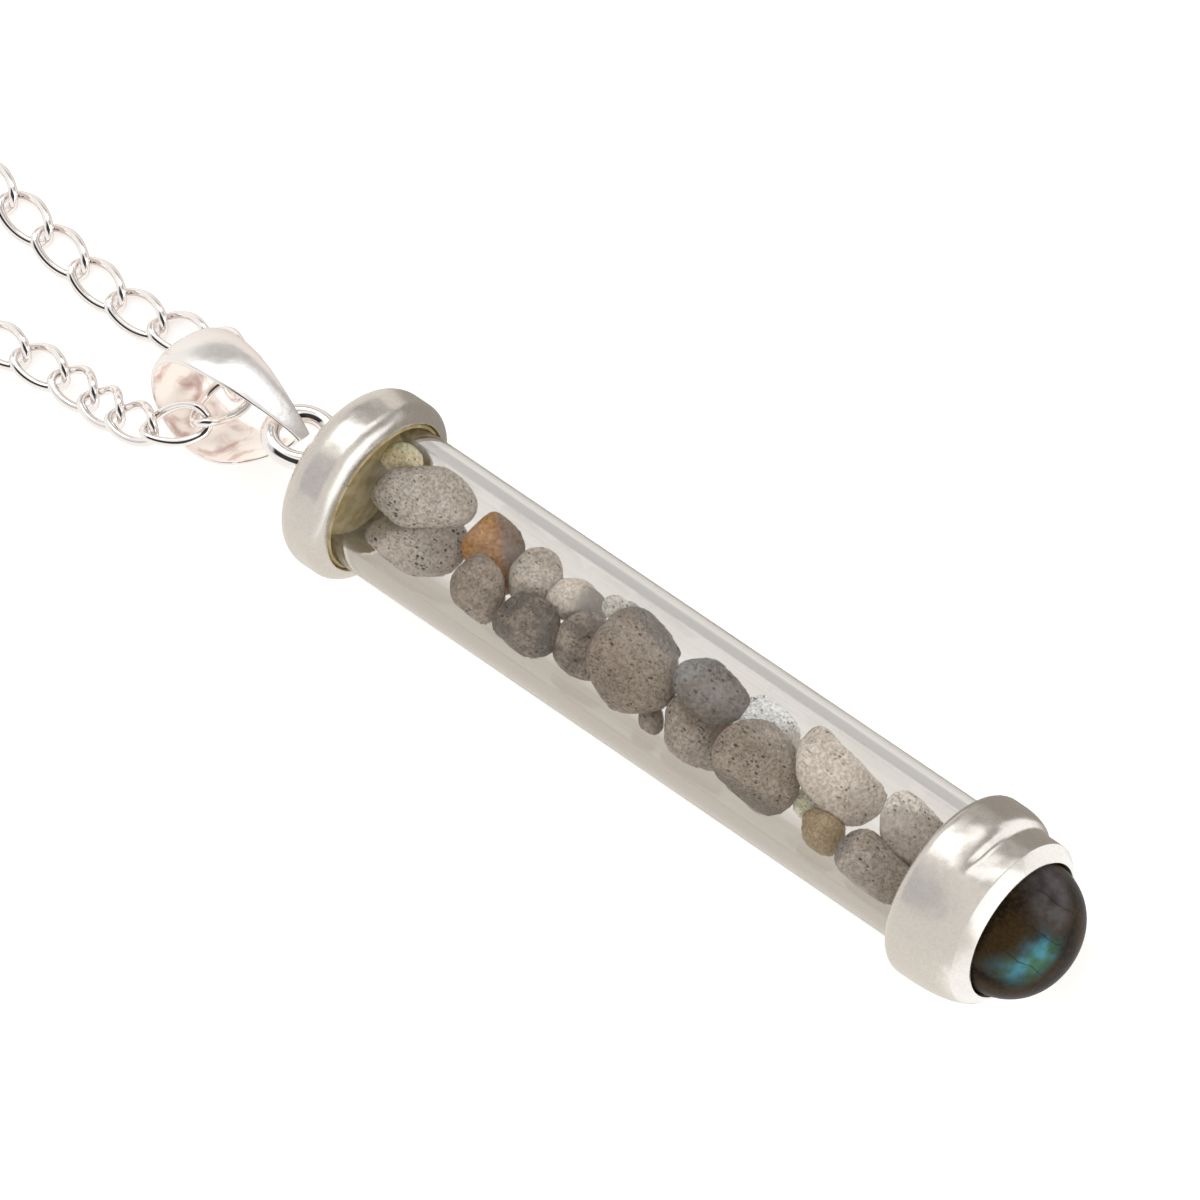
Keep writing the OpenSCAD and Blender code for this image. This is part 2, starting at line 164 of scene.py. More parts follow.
# Material helpers
class Shader:
    """A material's node tree with short names for the nodes that this scene uses."""

    def __init__(self, name):
        self.mat = bpy.data.materials.new(name)
        self.mat.use_nodes = True
        self.nodes = self.mat.node_tree.nodes
        self.links = self.mat.node_tree.links
        self.bsdf = self.nodes["Principled BSDF"]
        self.out = self.nodes["Material Output"]
        coord = self.add("TexCoord")
        self.mm = self.vec("SCALE", coord.outputs["Object"], scale=1 / MM)
        self.local = self.vec("SUBTRACT", self.mm, tuple(ORIGIN))

    def add(self, kind, **values):
        node = self.nodes.new("ShaderNode" + kind)
        for key, value in values.items():
            setattr(node, key, value)
        return node

    def put(self, socket, value):
        if isinstance(value, bpy.types.NodeSocket):
            self.links.new(value, socket)
        else:
            socket.default_value = value

    def vec(self, op, a, b=None, scale=None, out="Vector"):
        node = self.add("VectorMath", operation=op)
        self.put(node.inputs[0], a)
        if b is not None:
            self.put(node.inputs[1], b)
        if scale is not None:
            node.inputs["Scale"].default_value = scale
        return node.outputs[out]

    def math(self, op, a, b=0.0, c=0.0, clamp=False):
        node = self.add("Math", operation=op, use_clamp=clamp)
        for socket, value in zip(node.inputs, (a, b, c)):
            self.put(socket, value)
        return node.outputs[0]

    def dot(self, a, b):
        return self.vec("DOT_PRODUCT", a, b, out="Value")

    def ramp(self, value, low, high, out_low=0.0, out_high=1.0, smooth=True):
        node = self.add("MapRange", interpolation_type="SMOOTHSTEP" if smooth else "LINEAR")
        for key, v in (("Value", value), ("From Min", low), ("From Max", high),
                       ("To Min", out_low), ("To Max", out_high)):
            self.put(node.inputs[key], v)
        return node.outputs[0]

    def mix(self, factor, a, b):
        node = self.add("Mix", data_type="RGBA")
        self.put(node.inputs["Factor"], factor)
        for key, v in (("A", a), ("B", b)):
            socket = [s for s in node.inputs if s.name == key and s.type == "RGBA"][0]
            self.put(socket, (*v, 1) if isinstance(v, tuple) and len(v) == 3 else v)
        return [s for s in node.outputs if s.type == "RGBA"][0]

    def noise(self, scale, where=None, detail=3, rough=0.5, distort=0.0, seed=0.0):
        node = self.add("TexNoise", noise_dimensions="4D")
        self.put(node.inputs["Vector"], self.mm if where is None else where)
        node.inputs["W"].default_value = seed
        node.inputs["Scale"].default_value = scale
        node.inputs["Detail"].default_value = detail
        node.inputs["Roughness"].default_value = rough
        node.inputs["Distortion"].default_value = distort
        return node.outputs[0]

    def cells(self, scale, where=None, seed=0.0):
        node = self.add("TexVoronoi")
        moved = self.vec("ADD", self.mm if where is None else where, (seed * 3.1, seed * 1.7, seed * 2.3))
        self.put(node.inputs["Vector"], moved)
        node.inputs["Scale"].default_value = scale
        return node.outputs

    def stretch(self, where, scales, turn=(0, 0, 0)):
        node = self.add("Mapping")
        self.put(node.inputs["Vector"], where)
        node.inputs["Rotation"].default_value = [math.radians(t) for t in turn]
        node.inputs["Scale"].default_value = scales
        return node.outputs[0]

    def bump(self, height, strength, distance=0.00005, normal=None):
        node = self.add("Bump")
        node.inputs["Strength"].default_value = strength
        node.inputs["Distance"].default_value = distance
        self.put(node.inputs["Height"], height)
        if normal is not None:
            self.put(node.inputs["Normal"], normal)
        return node.outputs[0]

    def times(self, a, b):
        return self.math("MULTIPLY", a, b)

    def off(self, value, middle):
        """How far a value lies from a middle, on either side."""
        return self.math("ABSOLUTE", self.math("SUBTRACT", value, middle))

    def normal(self):
        return self.add("NewGeometry").outputs["Normal"]

    def set(self, **values):
        """Sets the surface's sockets, with _ for each space in their names."""
        for key, value in values.items():
            self.put(self.bsdf.inputs[key.replace("_", " ")], value)
        return self


def dress(piece, material, slot, *nodes):
    """Gives a piece its material, its body and the nodes that it stands for."""
    piece.data.materials.clear()
    piece.data.materials.append(material)
    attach(piece, "root")
    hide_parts(*nodes)


# Camera, floor and light
# Sizes in pixels are those of the photograph, and the camera's distance is in metres
FRAME_PX = 1200
FOCAL_PX = 14090
CAMERA_FAR = 0.8687
SENSOR = 36
RIGHT, UP, BACK = (0.743, 0.562, -0.3625), (-0.505, 0.827, 0.246), (0.438, 0.0, 0.899)
# The camera aims at a place on the axis that is a little towards the set stone from the tube's middle
AIM = Vector((ORIGIN + (0.93, 0, 0)) * MM)
AIM_PX = (671.5, 694)
camera = bpy.data.objects.new("camera", bpy.data.cameras.new("camera"))
bpy.context.scene.collection.objects.link(camera)
camera.matrix_world = Matrix.Translation(AIM + Vector(unit(BACK)) * CAMERA_FAR) @ Matrix((
    (*unit(RIGHT), 0), (*unit(UP), 0), (*unit(BACK), 0), (0, 0, 0, 1))).transposed().to_3x3().to_4x4()
camera.data.sensor_width = SENSOR
camera.data.lens = FOCAL_PX / FRAME_PX * SENSOR
camera.data.shift_x = (FRAME_PX / 2 - AIM_PX[0]) / FRAME_PX
camera.data.shift_y = (AIM_PX[1] - FRAME_PX / 2) / FRAME_PX
camera.data.clip_start = 0.05
camera.data.clip_end = 20
bpy.context.scene.camera = camera
bpy.context.scene.view_settings.view_transform = "Standard"


def make_floor():
    """A pale floor. Metal and glass see it with painted shades, which stand for the light and dark things
    round the pendant.
    """
    half = 3.0
    corners = np.array([(-half, -half, 0), (half, -half, 0), (half, half, 0), (-half, half, 0)])
    floor = mesh_piece("floor", corners / MM, [(0, 1, 2, 3)])
    s = Shader("floor")
    s.set(Base_Color=s.mix(s.noise(0.05, detail=2), (0.90, 0.89, 0.875), (0.93, 0.925, 0.915)), Roughness=0.9)
    s.bsdf.inputs["Specular IOR Level"].default_value = 0.0
    glow = s.add("Emission")
    glow.inputs["Strength"].default_value = 0.42
    path = s.add("LightPath")
    both = s.add("AddShader")
    s.links.new(s.bsdf.outputs[0], both.inputs[0])
    s.links.new(glow.outputs[0], both.inputs[1])
    ahead, aside = s.dot(s.local, (1, 0, 0)), s.dot(s.local, (0, 1, 0))

    def choose(ray, below, other):
        """One shader, but another for one kind of ray."""
        node = s.add("MixShader")
        s.links.new(path.outputs[ray], node.inputs[0])
        s.links.new(below, node.inputs[1])
        s.links.new(other, node.inputs[2])
        return node.outputs[0]

    def plain(shade):
        """The same shade from every side, with no light or shadow on it."""
        seen = s.add("Emission")
        s.links.new(shade, seen.inputs["Color"])
        return seen.outputs[0]

    surface = choose("Is Camera Ray", s.bsdf.outputs[0], both.outputs[0])
    # Painted light and shade for the metal: it sees the floor darker on the +Y side of the pendant, and
    # bright in front of the set stone
    dim = s.times(s.ramp(aside, 1.0, 5.0), s.ramp(ahead, -36.0, -30.0))
    shade = s.mix(dim, (0.97, 0.92, 0.86), (0.42, 0.385, 0.345))
    shade = s.mix(s.ramp(ahead, 25.5, 29.0), shade, (1.4, 1.4, 1.4))
    surface = choose("Is Glossy Ray", surface, plain(shade))
    # Painted shade: through the glass the floor shows soft shade on both sides of the tube, beige on the -Y
    # side and grey further out on the +Y side
    shade = s.mix(s.ramp(aside, -4.2, -1.8), (0.515, 0.467, 0.406), (0.82, 0.79, 0.745))
    shade = s.mix(s.ramp(aside, 8.7, 9.4), shade, (0.546, 0.521, 0.503))
    surface = choose("Is Transmission Ray", surface, plain(shade))
    s.links.new(surface, s.out.inputs["Surface"])
    floor.data.materials.append(s.mat)


# The room is pale. Each patch in it has a direction, the angles from that direction at which it is
# full and gone, and a colour: a soft box on the +Y side, a grey patch overhead, a small and a larger
# lamp, and a bright front that the set stone faces.
ROOM = (0.92, 0.885, 0.85)
PATCHES = [
    ((0, 1, 0.05), 35, 65, (0.47, 0.44, 0.42)),
    ((-0.44, -0.40, 0.80), 20, 26, (0.66, 0.64, 0.65)),
    ((-0.44, 0.52, 0.73), 9, 20, (2.6, 2.6, 2.6)),
    ((-0.12, 0.85, 0.5), 8, 20, (1.7, 1.7, 1.7)),
    ((1, 0.15, 0.25), 24, 46, (1.8, 1.8, 1.8)),
]


def make_world():
    """The room that lights the pendant and shows in its metal. To the camera it is plain white."""
    world = bpy.data.worlds.new("room")
    bpy.context.scene.world = world
    world.use_nodes = True
    nodes, links = world.node_tree.nodes, world.node_tree.links
    back = nodes["Background"]
    geo = nodes.new("ShaderNodeTexCoord").outputs["Generated"]

    def spot(direction, full, gone):
        """1 inside the angle full of a direction, 0 outside the angle gone."""
        cos = nodes.new("ShaderNodeVectorMath")
        cos.operation = "DOT_PRODUCT"
        links.new(geo, cos.inputs[0])
        cos.inputs[1].default_value = tuple(unit(direction))
        node = nodes.new("ShaderNodeMapRange")
        node.interpolation_type = "SMOOTHSTEP"
        links.new(cos.outputs["Value"], node.inputs["Value"])
        node.inputs["From Min"].default_value = math.cos(math.radians(gone))
        node.inputs["From Max"].default_value = math.cos(math.radians(full))
        return node.outputs[0]

    colour = None
    for direction, full, gone, shade in PATCHES:
        node = nodes.new("ShaderNodeMix")
        node.data_type = "RGBA"
        links.new(spot(direction, full, gone), node.inputs["Factor"])
        below, above = [s for s in node.inputs if s.type == "RGBA"]
        if colour is None:
            below.default_value = (*ROOM, 1)
        else:
            links.new(colour, below)
        above.default_value = (*shade, 1)
        colour = [s for s in node.outputs if s.type == "RGBA"][0]
    links.new(colour, back.inputs["Color"])
    seen = nodes.new("ShaderNodeBackground")
    seen.inputs["Color"].default_value = (0.98, 0.98, 0.97, 1)
    choose = nodes.new("ShaderNodeMixShader")
    links.new(nodes.new("ShaderNodeLightPath").outputs["Is Camera Ray"], choose.inputs[0])
    links.new(back.outputs[0], choose.inputs[1])
    links.new(seen.outputs[0], choose.inputs[2])
    links.new(choose.outputs[0], nodes["World Output"].inputs["Surface"])


# Metals and glass
def satin_silver():
    """Cast and brushed silver plate, with glue in the mouth round the glass."""
    s = Shader("satin_silver")
    soft = s.noise(0.35, detail=2, seed=3)
    cloud = s.noise(1.6, detail=4, seed=9)
    fine = s.noise(5.0, detail=4, rough=0.7, seed=12)
    colour = s.mix(cloud, (0.66, 0.63, 0.585), (0.74, 0.72, 0.68))
    colour = s.mix(s.ramp(fine, 0.40, 0.62, 0.0, 0.3), colour, (0.56, 0.53, 0.48))
    pits = s.ramp(s.cells(2.2, seed=5)["Distance"], 0.10, 0.05)
    speck = s.times(pits, s.ramp(s.noise(0.8, seed=2), 0.52, 0.6))
    colour = s.mix(s.times(speck, 0.2), colour, (0.5, 0.42, 0.3))
    x = s.dot(s.local, (1, 0, 0))
    radius = s.vec("LENGTH", s.vec("MULTIPLY", s.local, (0, 1, 1)), out="Value")
    inside = s.times(s.ramp(radius, CAP_BORE + 0.02, CAP_BORE + 0.06, 1, 0),
                    s.math("LESS_THAN", s.math("ABSOLUTE", x), LIP + SEAT_LEN + 0.4))
    glue = s.mix(s.ramp(s.noise(1.1, seed=4), 0.4, 0.62), (0.36, 0.28, 0.13), (0.50, 0.41, 0.23))
    spot = s.ramp(s.cells(1.7, seed=8)["Distance"], 0.13, 0.06)
    glue = s.mix(s.times(spot, s.ramp(s.noise(0.7, seed=6), 0.5, 0.6)), glue, (0.10, 0.06, 0.03))
    colour = s.mix(inside, colour, glue)
    s.set(Base_Color=colour, Metallic=s.math("SUBTRACT", 1.0, inside),
          Roughness=s.math("MAXIMUM", s.ramp(cloud, 0.3, 0.7, 0.24, 0.30), s.times(inside, 0.6)))
    dents = s.bump(soft, 0.38, 0.0005)
    s.set(Normal=s.bump(fine, 0.05, 0.00005, dents))
    return s.mat


def polished_silver(name, rough=0.05, line=True, warm=None, edge=None):
    """Bright silver plate, on its low side a little darker and pinker from painted shade.

    line paints into the colour the reflection of a dark thing overhead, which each wire shows along its top.
    warm(s) is 1 where faces throw warm light at each other, which is painted in as a warm tint and a faint
    glow, and edge(s) is 1 where a dark reflection is painted along an edge.
    """
    s = Shader(name)
    cloud = s.noise(2.0, detail=3, seed=1)
    colour = s.mix(cloud, (0.95, 0.93, 0.915), (1.0, 0.985, 0.975))
    normal = s.normal()
    # Painted shade: faces that turn down and towards +Y are darker and pinker
    low_side_shade = s.ramp(s.dot(normal, (0.1, -0.55, 0.83)), 0.35, -0.35)
    colour = s.mix(s.times(low_side_shade, 0.8), colour, (0.60, 0.52, 0.51))
    # Painted light: where faces throw warm light at each other, a warm tint with brown blotches stands in for
    # that light and its reflections
    if warm is not None:
        patches = s.ramp(s.noise(0.6, detail=4, distort=0.5, seed=6), 0.34, 0.56)
        tint = s.mix(patches, (0.58, 0.41, 0.37), (0.97, 0.91, 0.85))
        colour = s.mix(warm(s), colour, tint)
        metal = s.math("SUBTRACT", 1.0, s.times(warm(s), 0.6))
    # Painted reflection: a near-black line where the edge mask is 1
    if edge is not None:
        colour = s.mix(edge(s), colour, (0.02, 0.015, 0.015))
    # Painted reflection: a near-black line where the wire faces the dark thing overhead
    if line:
        aside = s.off(s.dot(normal, (0, 1, 0)), -0.12)
        ahead = s.off(s.dot(normal, (1, 0, 0)), 0.36)
        dark = s.times(s.ramp(aside, 0.24, 0.18), s.ramp(ahead, 0.40, 0.30))
        dark = s.times(dark, s.math("GREATER_THAN", s.dot(normal, (0, 0, 1)), 0.2))
        colour = s.mix(s.times(dark, 0.96), colour, (0.01, 0.008, 0.008))
    s.set(Base_Color=colour, Metallic=1.0, Roughness=s.ramp(cloud, 0.3, 0.7, rough, rough + 0.05))
    if warm is not None:
        # The faint glow is painted light too: those faces glow in their warm tint though no lamp is there
        s.set(Metallic=metal, Emission_Color=tint, Emission_Strength=s.times(warm(s), 0.22))
    s.set(Normal=s.bump(s.noise(1.3, detail=2, seed=5), 0.10, 0.0002))
    return s.mat


def clear_glass():
    """Drawn glass with faint lengthwise streaks, browner where it is seen edge on. It casts no shadow."""
    s = Shader("clear_glass")
    streak = s.noise(2.4, s.stretch(s.mm, (0.02, 1, 1)), detail=3, seed=2)
    tint = s.mix(s.ramp(streak, 0.35, 0.65), (0.945, 0.942, 0.932), (0.995, 0.995, 0.99))
    rim = s.add("LayerWeight")
    tint = s.mix(s.times(s.ramp(rim.outputs["Facing"], 0.72, 0.92), 0.6), tint, (0.62, 0.56, 0.47))
    s.set(Base_Color=tint, Roughness=0.0)
    s.bsdf.inputs["Specular Tint"].default_value = (0.25, 0.25, 0.25, 1)
    s.bsdf.inputs["Transmission Weight"].default_value = 1.0
    s.bsdf.inputs["IOR"].default_value = 1.47
    s.set(Normal=s.bump(streak, 0.06, 0.0001))
    clear = s.add("BsdfTransparent")
    clear.inputs["Color"].default_value = (0.95, 0.955, 0.95, 1)
    path = s.add("LightPath")
    through = s.math("MAXIMUM", path.outputs["Is Shadow Ray"], path.outputs["Is Diffuse Ray"])
    choose = s.add("MixShader")
    s.links.new(through, choose.inputs[0])
    s.links.new(s.bsdf.outputs[0], choose.inputs[1])
    s.links.new(clear.outputs[0], choose.inputs[2])
    s.links.new(choose.outputs[0], s.out.inputs["Surface"])
    return s.mat


def labradorite():
    """The set stone: dark olive brown, with a blue-green flash that parallel cracks cut."""
    s = Shader("labradorite")
    smoke = s.noise(0.45, detail=5, rough=0.6, seed=4)
    colour = s.mix(s.ramp(smoke, 0.40, 0.60), (0.006, 0.003, 0.001), (0.030, 0.017, 0.005))
    grain = s.noise(4.5, detail=3, seed=2)
    colour = s.mix(s.ramp(grain, 0.4, 0.7, 0, 0.22), colour, (0.08, 0.055, 0.025))
    waver = s.times(s.math("SUBTRACT", s.noise(0.6, seed=7), 0.5), 0.7)
    side = s.math("ADD", s.dot(s.local, (0, 1, 0)), waver)
    rise = s.dot(s.local, (0, 0, 1))
    flash = s.times(s.ramp(s.off(side, -1.1), 2.6, 0.6), s.ramp(s.off(rise, 2.2), 1.7, 0.2))
    patch = s.times(flash, s.ramp(s.noise(0.6, detail=4, seed=11), 0.26, 0.62))
    hue = s.mix(s.ramp(s.noise(0.5, seed=3), 0.46, 0.62), (0.075, 0.27, 0.36), (0.06, 0.15, 0.10))
    colour = s.mix(patch, colour, hue)
    # Painted sheen: a soft pale grey patch high on the +Y side, a reflection painted into the colour
    painted_sheen = s.times(s.ramp(side, 0.2, 1.6), s.ramp(s.off(rise, 2.6), 1.8, 0.4))
    painted_sheen = s.times(painted_sheen, s.ramp(s.noise(0.9, detail=3, seed=21), 0.3, 0.7, 0.3, 0.9))
    colour = s.mix(painted_sheen, colour, (0.10, 0.092, 0.095))
    # Thin cracks run along the tube's axis and cut the flash into steps
    cut = s.math("PINGPONG", s.math("ADD", side, 1.65), 1.05)
    crack = s.times(s.ramp(cut, 0.06, 0.01), s.ramp(s.noise(0.5, seed=13), 0.36, 0.5))
    colour = s.mix(s.times(crack, 0.6), colour, (0.012, 0.010, 0.006))
    s.set(Base_Color=colour, Roughness=0.45)
    s.bsdf.inputs["Specular IOR Level"].default_value = 0.03
    s.bsdf.inputs["Coat Weight"].default_value = 0.05
    s.bsdf.inputs["Coat Roughness"].default_value = 0.14
    s.set(Normal=s.bump(s.noise(1.2, detail=3, seed=5), 0.10, 0.0002))
    return s.mat


# Stone chips
# They are drawn as in part.scad, in units of a bed that is then stretched to the real bore. Columns: the
# middle's place to the right and up on a sheet that is seen as the camera sees the tube, its height over
# the tube's axis, half thickness, and how far the chip reaches to the right, to the upper right, up, and
# so on round in eighths of a turn.
BED_LENGTH, BED_R = 425, 65
SIGHT_LEAN, SHEET_TURN = math.radians(26), math.radians(34)
# How far the sheet's middle lies from the bed's middle, towards the set stone
SHEET_START = 15
# How close a chip may come to the glass, as a share of the bore's radius
CHIP_REACH = 0.98
# Squareness of a chip's outline on the sheet, of its edge, and of its worn flats
FLANK_POWER, EDGE_POWER, FLAT_POWER = 9, 2.5, 24
CHIPS = [
    (-254, 196, 6, 20, 57, 44, 30, 42, 57, 37, 29, 50),
    (-263, 149, -28, 21, 57, 50, 30, 45, 55, 32, 34, 47),
    (-273, 236, -6, 15, 20, 18, 17, 20, 25, 20, 20, 20),
    (-251, 194, -42, 15, 40, 30, 20, 30, 40, 30, 20, 30),
    (-181, 149, -34, 18, 32, 31, 37, 27, 32, 32, 56, 46),
    (-198, 102, -10, 19, 28, 32, 42, 29, 26, 24, 35, 33),
    (-138, 119, -30, 22, 28, 31, 28, 24, 27, 35, 28, 24),
    (-148, 66, -12, 17, 34, 33, 31, 34, 34, 26, 33, 36),
    (-98, 94, -40, 15, 36, 24, 22, 25, 30, 26, 22, 35),
    (-94, 46, -37, 17, 35, 38, 35, 28, 27, 30, 36, 37),
    (-41, 34, -4, 29, 46, 47, 50, 43, 45, 55, 54, 58),
    (-57, 88, -9, 12, 16, 12, 10, 12, 14, 14, 14, 14),
    (-16, 69, -44, 13, 43, 16, 27, 40, 42, 34, 36, 42),
    (-22, -30, -42, 11, 12, 16, 20, 16, 13, 15, 20, 14),
    (26, -44, -38, 19, 34, 40, 45, 45, 38, 33, 44, 50),
    (41, 4, -6, 18, 37, 24, 29, 41, 41, 30, 35, 39),
    (99, -33, -38, 18, 30, 24, 33, 37, 32, 30, 36, 39),
    (86, -76, -10, 21, 41, 42, 48, 50, 45, 34, 50, 49),
    (169, -76, -26, 24, 48, 20, 49, 51, 44, 41, 56, 58),
    (132, -112, -47, 9, 15, 12, 17, 14, 12, 13, 18, 13),
    (149, -141, -37, 20, 23, 25, 25, 28, 20, 20, 25, 25),
    (201, -174, -24, 24, 46, 26, 39, 45, 39, 27, 41, 52),
    (244, -134, -29, 24, 36, 24, 38, 41, 36, 34, 39, 45),
    (287, -179, -29, 24, 30, 26, 30, 32, 32, 30, 30, 28),
]
# Colours of the stones, from dark to pale, then the coloured ones, and those of the specks in them
STONES = {
    "ink": (0.15, 0.13, 0.11), "umber": (0.22, 0.18, 0.15), "slate": (0.24, 0.22, 0.20),
    "lead": (0.27, 0.28, 0.28), "peat": (0.29, 0.23, 0.18), "smoke": (0.35, 0.32, 0.29),
    "bark": (0.35, 0.28, 0.22), "drab": (0.40, 0.33, 0.27), "clay": (0.45, 0.39, 0.33),
    "ash": (0.50, 0.43, 0.38), "steel": (0.50, 0.50, 0.48), "sand": (0.58, 0.50, 0.43),
    "mist": (0.63, 0.61, 0.58), "fawn": (0.70, 0.61, 0.53), "milk": (0.80, 0.70, 0.61),
    "bone": (0.90, 0.84, 0.75), "chalk": (0.97, 0.97, 0.96),
    "rust": (0.42, 0.18, 0.05), "amber": (0.50, 0.26, 0.09), "olive": (0.38, 0.28, 0.16),
    "moss": (0.46, 0.34, 0.21), "cream": (0.95, 0.80, 0.50), "straw": (0.97, 0.95, 0.65),
    "jet": (0.04, 0.04, 0.04), "pitch": (0.05, 0.04, 0.03), "soot": (0.07, 0.07, 0.07),
    "tar": (0.08, 0.06, 0.05), "burnt": (0.16, 0.08, 0.03), "bronze": (0.16, 0.12, 0.05),
    "plum": (0.20, 0.14, 0.14),
}
# Columns: base colour, second colour, colour of the specks, their share and size, and the needles
LOOKS = [
    ("clay", "sand", "soot", 0.50, 0.22, 0.0),
    ("sand", "clay", "jet", 0.62, 0.30, 0.0),
    ("cream", "straw", "tar", 0.10, 0.20, 0.0),
    ("clay", "smoke", "soot", 0.30, 0.22, 0.0),
    ("rust", "amber", "burnt", 0.25, 0.22, 0.5),
    ("peat", "drab", "soot", 0.35, 0.22, 0.2),
    ("clay", "sand", "soot", 0.30, 0.20, 0.0),
    ("ink", "peat", "jet", 0.40, 0.26, 0.3),
    ("milk", "fawn", "plum", 0.20, 0.16, 0.0),
    ("umber", "drab", "pitch", 0.40, 0.24, 0.6),
    ("peat", "bark", "pitch", 0.62, 0.22, 0.2),
    ("mist", "bone", "soot", 0.25, 0.20, 0.0),
    ("steel", "mist", "jet", 0.30, 0.20, 0.2),
    ("peat", "drab", "tar", 0.15, 0.20, 0.2),
    ("bark", "clay", "pitch", 0.45, 0.22, 0.3),
    ("umber", "slate", "jet", 0.42, 0.24, 0.4),
    ("chalk", "chalk", "pitch", 0.40, 0.26, 0.0),
    ("peat", "drab", "pitch", 0.45, 0.22, 0.4),
    ("milk", "fawn", "tar", 0.22, 0.24, 0.7),
    ("straw", "chalk", "tar", 0.22, 0.26, 0.0),
    ("olive", "moss", "bronze", 0.10, 0.20, 0.4),
    ("drab", "ash", "pitch", 0.35, 0.22, 0.5),
    ("sand", "ash", "tar", 0.25, 0.20, 0.7),
    ("ash", "sand", "pitch", 0.30, 0.22, 0.2),
]
# Chips that turn to another colour. Columns: direction in the pendant's axes, place of the turn's
# middle and its width along that direction, and the colour
FADES = {
    "chip_05": ((0.75, 0.66, 0.0), 0.75, 0.7, "umber"),
    "chip_09": ((1, 0, 0), 0.5, 0.8, "smoke"),
    "chip_11": ((0.2, 0.98, -0.1), 1.75, 0.3, "slate"),
    "chip_16": ((-0.9, 0.4, 0.2), 1.3, 0.9, "lead"),
    "chip_17": ((0.8, -0.6, 0), 0.8, 1.0, "fawn"),
    "chip_18": ((0, -1, 0), 1.3, 0.8, "umber"),
    "chip_22": ((-1, 0, 0.2), 1.9, 0.5, "slate"),
    "chip_23": ((-0.3, 0.9, 0.2), 1.1, 0.6, "bone"),
}


def chip_stone(name, centre, look, fade, seed):
    """Mottled stone with marks, specks and needles in it, as its row of LOOKS says."""
    base, second, dark = [STONES[colour] for colour in look[:3]]
    share, size, needles = look[3:]
    s = Shader(name)
    where = s.vec("SUBTRACT", s.mm, tuple(centre))
    cloud = s.ramp(s.noise(0.8, where, detail=4, rough=0.6, distort=0.5, seed=seed), 0.38, 0.62)
    colour = s.mix(cloud, base, second)
    if fade:
        direction, middle, width, turned = fade
        ragged = s.times(s.math("SUBTRACT", s.noise(1.2, where, seed=seed + 3), 0.5), 0.6)
        along = s.math("ADD", s.dot(where, tuple(unit(direction))), ragged)
        colour = s.mix(s.ramp(along, middle - width / 2, middle + width / 2), colour, STONES[turned])
    fine = s.ramp(s.noise(4.5, where, detail=5, rough=0.75, seed=seed + 1), 0.42, 0.60)
    colour = s.mix(s.times(fine, 0.7), colour, tuple(c * 0.45 for c in base))
    pale = s.ramp(s.noise(3.4, where, detail=4, rough=0.7, seed=seed + 2), 0.56, 0.70)
    colour = s.mix(s.times(pale, 0.5), colour, tuple(min(1, c * 1.5) for c in second))
    turn = (seed * 7 % 50, seed * 11 % 50, seed * 13 % 180)
    grain = s.stretch(where, (1, 2.2, 2.2), turn)
    # Short irregular marks in clusters
    mark = s.ramp(s.noise(0.85 / size, grain, detail=3, rough=0.6, distort=0.6, seed=seed + 7), 0.60, 0.66)
    cluster = s.ramp(s.noise(0.9, where, detail=2, seed=seed + 8), 0.55 - share * 0.35, 0.70 - share * 0.35)
    colour = s.mix(s.times(s.times(mark, cluster), 0.75), colour, dark)
    # Specks of two sizes, each as large as its cell's own random number says
    for step, weight in ((1.0, 0.75), (1.9, 0.95)):
        scale = 0.95 / (size * step)
        dots = s.cells(scale, grain, seed=seed + step)
        own = s.dot(dots["Color"], (1, 0, 0))
        edge = s.math("SUBTRACT", dots["Distance"], s.ramp(own, 1 - share, 1.0, 0.05, 0.40, smooth=False))
        dot = s.ramp(edge, 0.06, -0.05)
        some = s.times(s.math("GREATER_THAN", own, 1 - share),
                      s.ramp(s.noise(scale * 0.4, where, detail=2, seed=seed + 5 + step), 0.36, 0.50))
        colour = s.mix(s.times(s.times(dot, some), weight), colour, dark)
    if needles:
        thin = s.stretch(where, (0.3, 3.4, 3.4), turn)
        line = s.ramp(s.noise(1.5, thin, detail=2, seed=seed + 9), 0.62, 0.72)
        colour = s.mix(s.times(line, needles), colour, tuple(c * 1.2 for c in dark))
    # Painted shade: the flanks, where chips shade each other, are darker than the side that lies open
    flank = s.math("ABSOLUTE", s.dot(s.normal(), tuple(unit(BACK))))
    colour = s.mix(s.times(s.ramp(flank, 0.34, 0.0), 0.7), colour, tuple(c * 0.30 for c in base))
    s.set(Base_Color=colour, Roughness=s.ramp(fine, 0.0, 1.0, 0.38, 0.55))
    s.bsdf.inputs["Specular IOR Level"].default_value = 0.35
    s.set(Normal=s.bump(s.noise(3.0, where, detail=4, rough=0.6, seed=seed), 0.35, 0.0002))
    return s.mat


def chip_size(u, row):
    """How far a chip reaches in each of the directions u, which are given on the sheet."""
    turns = np.radians(45 * np.arange(8))
    facing = u[:, :1] * np.cos(turns) + u[:, 1:2] * np.sin(turns)
    flank = (np.maximum(0, facing / np.array(row[4:])) ** FLANK_POWER).sum(1) ** (1 / FLANK_POWER)
    return (flank ** EDGE_POWER + (np.abs(u[:, 2]) / row[3]) ** EDGE_POWER) ** (-1 / EDGE_POWER)


def off_sheet(p):
    """Places on the sheet, with their height towards the eye, in the bed's own directions."""
    along = p[:, 0] * math.cos(SHEET_TURN) - p[:, 1] * math.sin(SHEET_TURN)
    across = p[:, 0] * math.sin(SHEET_TURN) + p[:, 1] * math.cos(SHEET_TURN)
    return np.stack([along * math.cos(SIGHT_LEAN) + p[:, 2] * math.sin(SIGHT_LEAN), across,
                     p[:, 2] * math.cos(SIGHT_LEAN) - along * math.sin(SIGHT_LEAN)], 1)


